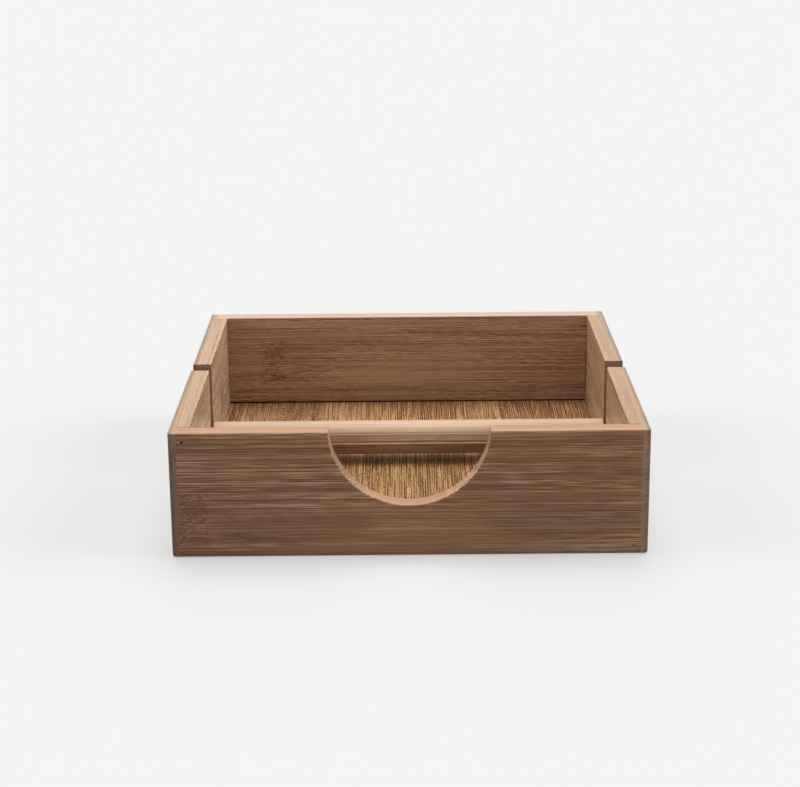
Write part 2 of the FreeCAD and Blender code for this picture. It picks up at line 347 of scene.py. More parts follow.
@dataclass(frozen=True)
class Fibres:
    """What the fibres of every board have in common.

    A cell is the size of a noise's cells along the fibres, across the strips and through the
    board, in millimetres. A climb is where a soft step starts and where it is done. A turn is
    a climb too, on how squarely a face looks along the fibres or across the strips.
    """

    strip_shift: float = 900.0
    seed_shift: float = 37.0
    tint_lot: float = 57.3
    end_turn: Span = (0.3, 0.78)
    edge_turn: Span = (0.75, 0.96)
    end_calm: float = 0.35
    dot_cell: float = 0.95

    sway_cell: Cell = (60.0, 30.0, 30.0)
    middle_cell: Cell = (60.0, 1.0, 1.0)
    broad_cell: Cell = (90.0, 4.5, 4.5)
    line_share: float = 0.8
    tick_share: float = 0.4
    ticks_per_line: float = 20.0
    busy_cell: Cell = (55.0, 9.0, 9.0)
    busy_climb: Span = (-0.22, 0.18)
    busy_gain: float = 1.1
    busy_least: float = 0.45

    wander_runs: float = 1.5
    wander_cell: float = 3.0
    any_depth: float = 90.0
    bundle_step: float = 7.3
    bundle_climb: Span = (0.1, 0.3)
    bundle_life: Span = (-0.14, 0.08)

    joint_cell: Cell = (30.0, 30.0, 30.0)
    joint_climb: Span = (0.08, 0.35)
    joint_life: Span = (-0.25, 0.05)

    golden_cell: Cell = (160.0, 9.0, 9.0)
    golden_gain: float = 4.0
    golden_climb: Span = (-0.3, 0.9)
    strip_edge: float = 0.3
    # Painted light: where the paler foot ends, in millimetres up from the underside.
    painted_foot_light_start: float = 8.0
    # Painted shade: the darker foot fades out between these heights.
    painted_foot_shade_climb: Span = (0.2, 2.6)

    knuckle_side: float = 0.5
    knuckle_end: float = 3.0
    knuckle_tone: float = 0.30
    core_share: float = 0.7
    tail_share: float = 0.3
    ripple_cell: Cell = (2.2, 3.0, 4.0)
    fleck_cell: Cell = (2.0, 0.6, 0.6)
    fleck_gain: float = 0.9
    cloud_cell: Cell = (9.0, 4.2, 9.0)
    cloud_gain: float = 3.0
    short_cell: Cell = (2.4, 0.5, 0.5)
    short_climb: Span = (-0.02, 0.16)
    short_gain: float = 1.1
    knuckle_least: float = 0.5

    fine_relief: float = 0.6
    middle_relief: float = 0.5
    bundle_relief: float = 0.25
    relief_strength: float = 0.3
    relief_height: float = 0.35 * MM
    fine_gloss: float = 0.25
    bundle_matt: float = 0.08
    end_matt: float = 0.15


FIBRES = Fibres()
MID_TONE = 0.5


@dataclass(frozen=True)
class Knuckle:
    """A node of the bamboo's culm: a darker, wavy band across one strip.

    Lengths are in millimetres, along and across the board's fibres.
    """

    along: float
    low: float
    high: float
    width: float = 9.0
    tail: float = 24.0
    strength: float = 1.0
    wave: float = 1.0

    def core(self, board: Board) -> Reading:
        """Find the band itself, all the way across the board."""
        start, end = self.along - self.width / 2, self.along + self.width / 2
        return board.along.window(start, end, FIBRES.knuckle_end)

    def trail(self, board: Board) -> Reading:
        """Find the darker wood beyond the band."""
        return board.along.window(self.along, self.along + self.tail, self.tail / 2)


@dataclass(frozen=True)
class Patch:
    """An oval in the board's face: a stain, painted light or shade, or a calm spot in its figure.

    Lengths are in millimetres. A strength below 0 makes the patch pale. A patch goes through the
    board between two depths.
    """

    along: float
    across: float
    reach_along: float
    reach_across: float
    strength: float
    depths: Span = (-200.0, 200.0)
    core: float = 0.35
    depth_edge: float = 0.4

    def cover(self, board: Board) -> Reading:
        """Work out how strongly the patch covers a point.

        Args:
            board: The point's place.

        Returns:
            A reading from 0 outside the patch to its strength inside.
        """
        run = (board.along - self.along) / self.reach_along
        side = (board.across - self.across) / self.reach_across
        inside = 1 - (side * side + run * run).rise(self.core, 1.0)
        return inside * board.depth.window(*self.depths, self.depth_edge) * self.strength


@dataclass(frozen=True)
class Seam:
    """A glue line between two plies and how light the next ply is; some are painted light or shade.
    """

    depth: float
    shade_beyond: float
    line: float = 0.25
    reach: float = 0.45
    figure_beyond: float = 1.0
    core: float = 0.2
    soft: float = 0.06

    def beyond(self, depth: Reading) -> Reading:
        """Tell the ply beyond the seam from the one before it."""
        return depth.rise(self.depth - self.soft, self.depth + self.soft)

    def glue(self, depth: Reading) -> Reading:
        """Find the glue line, from 0 outside to 1 within."""
        return 1 - abs(depth - self.depth).rise(self.reach * self.core, self.reach)


@dataclass(frozen=True)
class Strip:
    """A strip of a board that is of another colour, between two lines across it."""

    low: float
    high: float
    colour: Colour
    share: float = 0.6


@dataclass(frozen=True)
class Figure:
    """A board's streaks: fine lines, middle ones, broad ones and the dark fibre bundles."""

    fine: Reading
    middle: Reading
    broad: Reading
    bundles: Reading


@dataclass(frozen=True)
class BambooFinish:
    """Oiled bamboo, as a solid figure that runs on round every edge of the board.

    Lengths are in millimetres, from the tray's middle and its underside. Dark, ground and light
    colour the darkest fibres, the ground and the palest fibres. Streaks are given by how much
    they move the tone between those three.
    """

    name: str
    lay: Lay
    dark: Colour
    ground: Colour
    light: Colour
    golden: Colour
    seed: float
    first_joint: float
    strip_width: float = 21.6
    fine: float = 2.6
    fine_cell: Span = (90.0, 0.36)
    middle: float = 0.8
    broad: float = 0.6
    sway: float = 0.9
    dashes: float = 0.16
    dash_cell: Span = (30.0, 1.6)
    wander: float = 2.2
    gloss: float = 0.5
    end_dots: float = 0.25
    strip_tint: float = 0.14
    joint_line: float = 0.10
    knuckles: tuple[Knuckle, ...] = ()
    # Stains, and painted light and shade, alike.
    marks_and_painted_light: tuple[Patch, ...] = ()
    quiet: tuple[Patch, ...] = ()
    seams: tuple[Seam, ...] = ()
    ply_tone: float = 0.0
    strips: tuple[Strip, ...] = ()
    golden_share: float = 0.8
    # Painted light: the wood turns paler and greyer towards the foot, for the light that the floor
    # sends back.
    painted_foot_colour: Colour = paint(180, 152, 128)
    painted_foot_light: float = 0.0
    painted_foot_light_reach: float = 40.0
    end_shade: float = 0.78
    # The edges, on the walls their upward faces, get their own shade, paling and tint: partly the
    # edge grain's own colour, partly painted light and sheen.
    edge_shade: float = 1.25
    edge_calm: float = 0.75
    edge_bleach_and_painted_sheen: float = 0.2
    edge_tint: Colour = paint(176, 134, 96)
    edge_tint_share: float = 0.0
    end_colour: Colour = paint(150, 108, 78)
    end_share: float = 0.6
    # Painted shade: how much darker the lowest few millimetres are, where the rounded foot turns
    # away from the light.
    painted_foot_shade: float = 0.0
    roughness: float = 0.30

    def mix(self) -> Material:
        """Make the material.

        Returns:
            The finished material.
        """
        material = bpy.data.materials.new(self.name)
        graph = NodeGraph(material)
        board = self._lay_out(graph)
        knuckle, wave, fleck = self._knuckles(board)
        figure = self._draw(board, wave)
        plies = self._plies(board.depth)

        tone = self._streaks(board, figure) + fleck - knuckle * FIBRES.knuckle_tone
        tone = tone - self._joint_lines(board) * self.joint_line
        tone = tone + (plies - 1) * self.ply_tone
        colour = self._colour_face(board, tone, knuckle)
        colour = self._colour_edges(board, tone, colour)
        colour = graph.shade(colour, self._shading(board, plies))

        fine = figure.fine * FIBRES.fine_relief
        relief = fine + figure.middle * FIBRES.middle_relief
        relief = relief - figure.bundles * FIBRES.bundle_relief
        matt = figure.fine * -FIBRES.fine_gloss + figure.bundles * FIBRES.bundle_matt
        surface = {
            "Base Color": colour,
            "Roughness": matt + board.end_grain * FIBRES.end_matt + self.roughness,
            "IOR": 1.5,
            "Specular IOR Level": self.gloss,
        }
        graph.coat(surface, relief, FIBRES.relief_strength, FIBRES.relief_height)
        return material

    def _lay_out(self, graph: NodeGraph) -> Board:
        """Work out where a point lies in the board.

        Args:
            graph: The graph that the nodes go into.

        Returns:
            The point's place, its strip and how its face looks.
        """
        ways, facings = graph.ways(), graph.facings()
        along, across, depth = (ways[axis] for axis in self.lay.value)
        fibre_axis, strip_axis, _ = self.lay.value
        strip_place = (across - self.first_joint) / self.strip_width
        number = strip_place.floor() + self.seed
        shift = graph.lot(number) * FIBRES.strip_shift
        return Board(
            graph=graph,
            along=along,
            across=across,
            depth=depth,
            height=ways[2],
            end_grain=facings[fibre_axis].rise(*FIBRES.end_turn),
            edge_grain=facings[strip_axis].rise(*FIBRES.edge_turn),
            strip_place=strip_place,
            strip_number=number,
            shifted=along + shift + self.seed * FIBRES.seed_shift,
        )

    def _draw(self, board: Board, wave: Amount) -> Figure:
        """Draw the board's streaks.

        Args:
            board: The point's place.
            wave: How far the knuckles push the fibres across, in millimetres.

        Returns:
            The streaks, each about 0 but for the bundles, which run from 0 to 1.
        """
        graph = board.graph
        sway = graph.noise(board.shifted_place, FIBRES.sway_cell) * self.sway
        swayed = board.across + sway + wave
        place = (board.shifted, swayed, board.depth)
        run, width = self.fine_cell
        lines = graph.noise(place, (run, width, width))
        ticks = graph.noise(place, (run / FIBRES.ticks_per_line, width, width), 0.0)
        busy = graph.noise(place, FIBRES.busy_cell).rise(*FIBRES.busy_climb)
        busy = busy * FIBRES.busy_gain + FIBRES.busy_least
        bundles = self._bundles(board.shifted, swayed + board.depth)
        return Figure(
            fine=(lines * FIBRES.line_share + ticks * FIBRES.tick_share) * busy,
            middle=graph.noise(place, FIBRES.middle_cell),
            broad=graph.noise(place, FIBRES.broad_cell),
            bundles=bundles * (1 - board.end_grain),
        )

    def _bundles(self, along: Reading, across: Reading) -> Reading:
        """Draw the dark fibre bundles: evenly spaced lines that wander and break off.

        Args:
            along: Millimetres along the fibres.
            across: Millimetres across the fibres.

        Returns:
            A reading from 0 between the bundles to 1 inside them.
        """
        run, pitch = self.dash_cell
        cell = (run * FIBRES.wander_runs, FIBRES.wander_cell, FIBRES.any_depth)
        wander = along.graph.noise((along, across, across), cell)
        place = (across + wander * self.wander) * (1 / pitch)
        number = place.nearest()
        line = 1 - abs(place - number).rise(*FIBRES.bundle_climb)
        step = (along, number * FIBRES.bundle_step, number)
        alive = along.graph.noise(step, (run, 1.0, FIBRES.any_depth), 0.0)
        return line * alive.rise(*FIBRES.bundle_life)

    def _streaks(self, board: Board, figure: Figure) -> Reading:
        """Put the streaks together, calmer on the board's edges and ends and in quiet spots.

        Args:
            board: The point's place.
            figure: The streaks.

        Returns:
            The tone, from 0 in the darkest fibres to 1 in the palest.
        """
        calm = 1 - board.edge_grain * self.edge_calm - board.end_grain * FIBRES.end_calm
        calm = calm * self._liveliness(board.depth) * (1 - self._patches(self.quiet, board))
        streaks = figure.fine * self.fine + figure.middle * self.middle + figure.broad * self.broad
        tint = board.graph.lot(board.strip_number + FIBRES.tint_lot) * self.strip_tint
        return MID_TONE + (streaks - figure.bundles * self.dashes) * calm + tint

    def _joint_lines(self, board: Board) -> Reading:
        """Find the thin glue lines between the strips, which come and go along the board.

        Args:
            board: The point's place.

        Returns:
            A reading from 0 beside the lines to 1 on them.
        """
        off = abs(board.strip_place - board.strip_place.nearest()) * self.strip_width
        fade = board.graph.noise((board.along,) * 3, FIBRES.joint_cell)
        fade = fade.rise(*FIBRES.joint_life)
        return (1 - off.rise(*FIBRES.joint_climb)) * fade

    def _knuckles(self, board: Board) -> tuple[Amount, Amount, Amount]:
        """Work out how dark, how wavy and how flecked the knuckles make the wood.

        Args:
            board: The point's place.

        Returns:
            The darkness from 0 to 1, how far the fibres are pushed across, in millimetres,
            and how far short flecks move the tone.
        """
        if not self.knuckles:
            return 0.0, 0.0, 0.0
        dark = band = push = 0.0
        for knuckle in self.knuckles:
            strip = board.across.window(knuckle.low, knuckle.high, FIBRES.knuckle_side)
            core = knuckle.core(board) * strip
            trail = knuckle.trail(board) * strip
            shade = core * FIBRES.core_share + trail * FIBRES.tail_share
            dark = dark + shade * knuckle.strength
            band = band + core
            push = push + core * knuckle.wave
        place, noise = board.place, board.graph.noise
        ripple = noise(place, FIBRES.ripple_cell)
        fleck = noise(place, FIBRES.fleck_cell) * FIBRES.fleck_gain
        cloud = noise(place, FIBRES.cloud_cell) * FIBRES.cloud_gain
        short = noise(place, FIBRES.short_cell, 0.0).rise(*FIBRES.short_climb)
        patchy = cloud + short * FIBRES.short_gain + FIBRES.knuckle_least
        return dark * patchy, push * ripple, band * fleck

    def _liveliness(self, depth: Reading) -> Amount:
        """Work out how strongly each ply's streaks show.

        Args:
            depth: Millimetres through the board.

        Returns:
            The share of the streaks that shows.
        """
        share: Amount = 1.0
        below = 1.0
        for seam in self.seams:
            share = share + seam.beyond(depth) * (seam.figure_beyond - below)
            below = seam.figure_beyond
        return share

    def _plies(self, depth: Reading) -> Amount:
        """Work out each ply's shade, with a thin line at each seam.

        Args:
            depth: Millimetres through the board.

        Returns:
            The shade, where 1 leaves the colour as it is.
        """
        shade: Amount = 1.0
        below = 1.0
        for seam in self.seams:
            step = seam.beyond(depth) * (seam.shade_beyond - below)
            shade = shade + step - seam.glue(depth) * seam.line
            below = seam.shade_beyond
        return shade

    @staticmethod
    def _patches(patches: tuple[Patch, ...], board: Board) -> Amount:
        """Add up what patches do to a point."""
        return sum((patch.cover(board) for patch in patches), 0.0)

    def _over(self, ground: Colour, tone: Reading) -> NodeSocket:
        """Give the fibres on a ground of the given colour."""
        return tone.graph.ramp(tone, [(0.0, self.dark), (MID_TONE, ground), (1.0, self.light)])

    def _colour_face(self, board: Board, tone: Reading, knuckle: Amount) -> NodeSocket:
        """Colour the fibres: golden clouds, strips of their own colour and a paler foot of painted
        light.

        Args:
            board: The point's place.
            tone: The tone of the streaks.
            knuckle: How much of a knuckle is there, which keeps the gold away.

        Returns:
            The colour.
        """
        graph = board.graph
        clouds = graph.noise(board.shifted_place, FIBRES.golden_cell) * FIBRES.golden_gain
        gold = clouds.rise(*FIBRES.golden_climb) * self.golden_share * (1 - knuckle)
        colour = self._over(self.ground, tone)
        colour = graph.mix(gold, colour, self._over(self.golden, tone))
        for strip in self.strips:
            share = board.across.window(strip.low, strip.high, FIBRES.strip_edge) * strip.share
            colour = graph.mix(share, colour, self._over(strip.colour, tone))
        # Painted light: paler and greyer towards the foot.
        painted_foot_light = (1 - board.height.rise(FIBRES.painted_foot_light_start, self.painted_foot_light_reach)) * self.painted_foot_light
        return graph.mix(painted_foot_light, colour, self._over(self.painted_foot_colour, tone))

    def _colour_edges(self, board: Board, tone: Reading, colour: NodeSocket) -> NodeSocket:
        """Tint the board's edges and its end grain. The paler edges are partly painted light and
        sheen.

        Args:
            board: The point's place.
            tone: The tone of the streaks.
            colour: The colour of the board's face.

        Returns:
            The colour.
        """
        graph, edges = board.graph, board.edge_grain
        # Partly painted sheen: the edges are paled towards the light colour.
        colour = graph.mix(edges * self.edge_bleach_and_painted_sheen, colour, self.light)
        colour = graph.mix(edges * self.edge_tint_share, colour, self._over(self.edge_tint, tone))
        cut = self._over(self.end_colour, tone)
        return graph.mix(board.end_grain * self.end_share, colour, cut)

    def _shading(self, board: Board, plies: Amount) -> Reading:
        """Work out how light each part is: ends, edges, plies, marks and painted light, and painted
        shade at the foot.

        Args:
            board: The point's place.
            plies: Each ply's shade.

        Returns:
            The shade, where 1 leaves the colour as it is.
        """
        edges = board.edge_grain * (self.edge_shade - 1)
        shade = 1 + edges - board.end_grain * (1 - self.end_shade)
        dots = board.graph.dots((board.across, board.depth), FIBRES.dot_cell)
        shade = shade * (1 - dots * board.end_grain * self.end_dots)
        # The patches: stains, and painted light and shade.
        shade = shade * plies * (1 - self._patches(self.marks_and_painted_light, board))
        # Painted shade: darker towards the board's foot.
        foot = 1 - board.height.rise(*FIBRES.painted_foot_shade_climb)
        return shade * (1 - foot * self.painted_foot_shade)


NOTCH: Span = (-94.4, -87.0)
INNER_FACE: Span = (80.0, 88.0)

# A knuckle low at the left, a calm lower middle and a pale notch with dotted fibre ends.
# Round the notch's rim, painted light pales its lower right side; a pale line is painted
# along the rim's front arris as a highlight, and painted shade darkens the foot.
FRONT_BAMBOO = BambooFinish(
    name="front_bamboo",
    lay=Lay.CROSS_WALL,
    dark=paint(112, 66, 36),
    ground=paint(157, 107, 68),
    light=paint(206, 160, 122),
    golden=paint(158, 111, 62),
    seed=3.0,
    first_joint=5.0,
    knuckles=(Knuckle(-87.0, 5.4, 26.6, width=10.0, tail=30.0, strength=1.5),),
    marks_and_painted_light=(
        Patch(-89.4, 48.3, 2.6, 1.7, -0.12),
        Patch(90.8, 3.6, 0.5, 0.35, 0.4),
        Patch(91.4, 1.8, 1.8, 0.8, 0.35),
        Patch(-52.0, 14.5, 44.0, 8.0, 0.22),
        Patch(62.0, 14.0, 42.0, 9.0, 0.30),
        Patch(66.0, 29.0, 30.0, 4.0, -0.1),
        # On the notch's rim: painted light pales the lower right side; the other three patches make
        # it paler low on the left and darker higher up.
        Patch(20.5, 29.2, 9.0, 8.0, -0.34, depths=NOTCH),
        Patch(-16.0, 25.7, 6.0, 5.0, -0.1, depths=NOTCH),
        Patch(-28.0, 38.0, 5.0, 9.0, 0.14, depths=NOTCH),
        Patch(31.0, 43.5, 3.0, 6.0, 0.12, depths=NOTCH),
    ),
    seams=(
        # Painted highlight: a pale line along the front arris of the rim and the notch.
        Seam(-94.3, 1.0, line=-0.08, reach=0.6),
        Seam(-90.6, 0.93, line=0.14, reach=0.9),
    ),
    quiet=(Patch(6.0, 6.0, 66.0, 22.0, 0.62),),
    # Painted shade darkens the front's lowest few millimetres.
    painted_foot_shade=0.25,
    end_colour=paint(196, 160, 132),
    end_share=0.7,
    end_shade=0.97,
    end_dots=0.42,
    dashes=0.09,
    dash_cell=(70.0, 1.7),
    sway=0.5,
    fine=3.1,
    fine_cell=(240.0, 0.42),
    middle=0.5,
    broad=1.05,
)

# Two knuckles at the left. Painted shade in the gaps of the corner joints, in a short crack
# near the top of the right end, in the lower right corner and along the foot, where the floor
# meets the wall. Painted light makes the wall paler towards its foot.
BACK_BAMBOO = BambooFinish(
    name="back_bamboo",
    lay=Lay.CROSS_WALL,
    dark=paint(114, 73, 46),
    ground=paint(162, 125, 96),
    light=paint(204, 168, 140),
    golden=paint(162, 127, 96),
    seed=11.0,
    first_joint=18.5,
    fine=1.9,
    middle=0.5,
    broad=0.4,
    dashes=0.12,
    knuckles=(
        Knuckle(-64.7, 19.0, 39.6, tail=22.0, strength=0.9),
        Knuckle(-31.3, 8.0, 15.5, tail=14.0, strength=0.35),
    ),
    marks_and_painted_light=(
        # Painted shade: the short crack near the right end's top, the gaps of both corner joints,
        # the lower right corner, and the line where the floor meets the wall.
        Patch(86.6, 46.6, 4.0, 0.45, 0.75, depths=INNER_FACE),
        Patch(87.0, 28.0, 0.5, 20.0, 0.7, depths=INNER_FACE),
        Patch(-87.0, 28.0, 0.45, 20.0, 0.35, depths=INNER_FACE),
        Patch(84.0, 14.0, 14.0, 14.0, 0.06),
        Patch(0.0, 9.1, 4000.0, 0.85, 0.97, depths=INNER_FACE),
    ),
    seams=(Seam(90.5, 0.95, line=0.14, reach=1.2),),
    # Painted light: the back wall is paler towards its foot, for the light that the floor sends
    # back.
    painted_foot_light=0.5,
    edge_tint=paint(202, 164, 136),
    edge_tint_share=0.6,
)

# The plies of the two sides show as stripes along their tops. The left one is the paler:
# partly its own colour, partly painted light on its inside, which faces the stronger lamp.
# Painted shade darkens the outer corners and a painted highlight runs along each inner arris.
LEFT_BAMBOO = BambooFinish(
    name="left_side_bamboo",
    lay=Lay.SIDE_WALL,
    dark=paint(116, 82, 54),
    # Partly painted light: this pale ground makes the inside look more strongly lit.
    ground=paint(212, 187, 162),
    light=paint(206, 166, 128),
    golden=paint(212, 187, 162),
    seed=19.0,
    first_joint=11.0,
    knuckles=(Knuckle(48.0, 8.0, 32.0, strength=0.8),),
    marks_and_painted_light=(Patch(-58.0, 44.5, 14.0, 0.7, 0.3), Patch(-95.0, 24.0, 1.6, 30.0, 0.33)),
    seams=(
        # Painted shade: the outer 2.4 mm are darker, where the outer corner rounds away from the
        # light.
        Seam(-95.0, 0.97, line=0.42, reach=2.4),
        Seam(-92.4, 1.03, line=0.02, reach=0.4),
        Seam(-89.6, 0.99, line=0.02, reach=0.4),
        # Painted highlight: a pale line along the inner arris of the top.
        Seam(-87.4, 0.99, line=-0.16, reach=0.4),
    ),
    # Painted light: the sides are a little paler towards their foot.
    painted_foot_light=0.25,
    edge_shade=0.92,
    edge_calm=0.6,
    edge_bleach_and_painted_sheen=0.0,
    edge_tint=paint(184, 142, 97),
    edge_tint_share=0.85,
    end_colour=paint(172, 126, 94),
    end_share=0.85,
    end_dots=0.2,
    end_shade=0.84,
)
RIGHT_BAMBOO = replace(
    LEFT_BAMBOO,
    name="right_side_bamboo",
    # Partly painted light, as on the left, but less.
    ground=paint(192, 160, 130),
    golden=paint(192, 160, 130),
    seed=21.0,
    first_joint=17.0,
    knuckles=(Knuckle(-48.0, 8.0, 32.0, strength=0.8),),
    marks_and_painted_light=(Patch(-95.0, 26.0, 1.6, 34.0, -0.14),),
    seams=(
        # Painted highlight: a pale line along the inner arris of the top.
        Seam(87.4, 1.0, line=-0.16, reach=0.4),
        Seam(89.9, 0.97, line=0.04, reach=0.4),
        Seam(92.5, 1.01, line=0.03, reach=0.4),
        # Painted shade: the outer 2.4 mm are darker, where the outer corner rounds away from the
        # light.
        Seam(95.0, 1.0, line=0.42, reach=2.4),
    ),
    edge_tint=paint(179, 136, 91),
)

# The fibres show as strong dark dashes, and every strip has a colour of its own.
# Painted shade darkens the back edge, where the floor goes into the groove, and the back left
# corner; painted light pales the back part, which the back wall shades. A patch at the back
# right is paler.
FLOOR_BAMBOO = BambooFinish(
    name="floor_bamboo",
    lay=Lay.FLOOR,
    dark=paint(104, 66, 38),
    ground=paint(172, 132, 94),
    light=paint(220, 182, 138),
    golden=paint(190, 151, 98),
    golden_share=0.3,
    seed=31.0,
    first_joint=-20.0,
    fine=2.2,
    fine_cell=(50.0, 0.38),
    middle=0.3,
    broad=0.3,
    dashes=0.62,
    dash_cell=(24.0, 1.0),
    wander=1.3,
    gloss=0.1,
    strip_tint=0.2,
    strips=(
        Strip(-90.0, -63.0, paint(154, 116, 84)),
        Strip(-63.0, -41.5, paint(176, 136, 96), 0.4),
        Strip(-41.5, -19.0, paint(158, 114, 86)),
        Strip(-19.0, 1.5, paint(192, 153, 98), 0.65),
        Strip(1.5, 23.0, paint(172, 128, 88), 0.5),
        Strip(23.0, 36.0, paint(176, 133, 92), 0.4),
        Strip(36.0, 44.5, paint(192, 152, 98), 0.6),
        Strip(44.5, 90.0, paint(158, 118, 86), 0.6),
    ),
    marks_and_painted_light=(
        # Painted shade along the back edge and in the back left corner; painted light over the back
        # part; a paler patch at the back right.
        Patch(87.0, 0.0, 1.0, 400.0, 0.9, depths=(8.0, 12.0)),
        Patch(62.0, 0.0, 46.0, 400.0, -0.17),
        Patch(80.0, -80.0, 24.0, 15.0, 0.16),
        Patch(80.0, 50.0, 22.0, 18.0, -0.1),
    ),
    knuckles=(Knuckle(66.0, -63.2, -41.6, width=22.0, tail=10.0, strength=0.15, wave=4.5),),
)

# Painted shade: a dark line along the lower arris, which turns down away from the light.
RAIL_BAMBOO = BambooFinish(
    name="rail_bamboo",
    lay=Lay.CROSS_WALL,
    dark=paint(106, 69, 43),
    ground=paint(161, 130, 102),
    light=paint(192, 163, 137),
    golden=paint(157, 125, 96),
    seed=41.0,
    first_joint=2.0,
    fine=1.4,
    middle=0.4,
    # Painted shade along the rail's lower arris.
    marks_and_painted_light=(Patch(0.0, 12.9, 4000.0, 0.55, 0.55),),
    end_shade=0.8,
)

# The plies run level round the crown. They grow paler towards it: partly their own colour,
# partly a painted highlight. A pale line painted along the lower arris is a highlight too.
CAP_BAMBOO = BambooFinish(
    name="cap_bamboo",
    lay=Lay.BAR,
    dark=paint(118, 84, 58),
    ground=paint(183, 148, 118),
    light=paint(228, 199, 172),
    golden=paint(184, 150, 117),
    seed=52.0,
    first_joint=-30.0,
    strip_width=60.0,
    fine=1.5,
    fine_cell=(150.0, 0.4),
    middle=0.5,
    sway=0.15,
    dashes=0.05,
    ply_tone=1.2,
    seams=(
        # Painted highlight: a pale line along the lower arris, just above the seat.
        Seam(18.8, 0.9, line=-0.5, reach=0.5),
        Seam(19.3, 0.86, line=0.1),
        Seam(20.9, 0.84, line=0.05),
        # Partly painted highlight: the plies from here up grow paler towards the crown.
        Seam(22.1, 1.0, line=0.20, figure_beyond=0.35),
        Seam(23.3, 1.09, line=0.12, figure_beyond=0.2),
        Seam(26.2, 1.12, line=0.0, figure_beyond=0.2),
    ),
    edge_shade=1.0,
    edge_calm=0.0,
    roughness=0.42,
)


@dataclass(frozen=True)
class SteelFinish:
    """Brad wire, drawn lengthwise, partly painted shade. Cells are in millimetres."""

    name: str = "brad_steel"
    # Partly painted shade: the steel is very dark, for the shade at the bottom of the open brad
    # hole.
    colour: Colour = paint(40, 34, 30)
    worn: Colour = paint(72, 62, 54)
    metal: float = 0.6
    roughness: float = 0.6
    worn_gloss: float = 0.12
    worn_climb: Span = (0.0, 0.2)
    drawn_cell: Cell = (0.08, 3.0, 0.08)
    worn_cell: Cell = (0.9, 1.6, 0.9)
    relief_strength: float = 0.2
    relief_height: float = 0.03 * MM

    def mix(self) -> Material:
        """Make the material.

        Returns:
            The finished material.
        """
        material = bpy.data.materials.new(self.name)
        graph = NodeGraph(material)
        ways = graph.ways()
        drawn = graph.noise(ways, self.drawn_cell)
        rubbed = graph.noise(ways, self.worn_cell, 2.0).rise(*self.worn_climb)
        surface = {
            "Base Color": graph.mix(rubbed, self.colour, self.worn),
            "Metallic": self.metal,
            "Roughness": rubbed * -self.worn_gloss + self.roughness,
        }
        graph.coat(surface, drawn, self.relief_strength, self.relief_height)
        return material


@dataclass(frozen=True)
class PuttyFinish:
    """Wood filler: matt, with grains of sawdust in it. Cells are in millimetres."""

    name: str = "brown_putty"
    colour: Colour = paint(126, 98, 80)
    grain: Colour = paint(160, 124, 98)
    grain_cell: Cell = (0.22, 0.22, 0.22)
    grain_climb: Span = (-0.05, 0.15)
    grain_matt: float = 0.3
    roughness: float = 0.72
    relief_strength: float = 0.4
    relief_height: float = 0.06 * MM

    def mix(self) -> Material:
        """Make the material.

        Returns:
            The finished material.
        """
        material = bpy.data.materials.new(self.name)
        graph = NodeGraph(material)
        speck = graph.noise(graph.ways(), self.grain_cell, 2.0)
        surface = {
            "Base Color": graph.mix(speck.rise(*self.grain_climb), self.colour, self.grain),
            "Roughness": speck * self.grain_matt + self.roughness,
        }
        graph.coat(surface, speck, self.relief_strength, self.relief_height)
        return material


def ease(mesh: BMesh, edges: list[BMEdge], offset: float) -> None:
    """Round edges off in a few steps.

    Args:
        mesh: The mesh.
        edges: The edges.
        offset: How far the round reaches from each edge.
    """
    bmesh.ops.bevel(
        mesh,
        geom=edges,
        offset=offset,
        segments=EASE_STEPS,
        profile=0.5,
        affect="EDGES",
        material=-1,
    )


def make_piece(name: str, mesh: BMesh, finish: Material) -> Object:
    """Turn a finished bmesh into an object at the origin.

    Args:
        name: The object's name.
        mesh: The shape, in its place. It is freed.
        finish: The material of every face.

    Returns:
        The new object.
    """
    bmesh.ops.recalc_face_normals(mesh, faces=mesh.faces)
    for face in mesh.faces:
        face.smooth = True
    for edge in mesh.edges:
        edge.smooth = edge.calc_face_angle(math.pi) < SMOOTH_BELOW
    data = bpy.data.meshes.new(name)
    mesh.to_mesh(data)
    mesh.free()
    data.materials.append(finish)
    piece = bpy.data.objects.new(name, data)
    bpy.context.scene.collection.objects.link(piece)
    LOG.info("%s: %d faces", name, len(data.polygons))
    return piece


def dress(node: str, finish: Material) -> None:
    """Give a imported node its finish, in every material slot that it has.

    Args:
        node: The node's name.
        finish: The material.
    """
    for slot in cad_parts[node].material_slots:
        slot.material = finish
    LOG.info("%s: %s", node, finish.name)


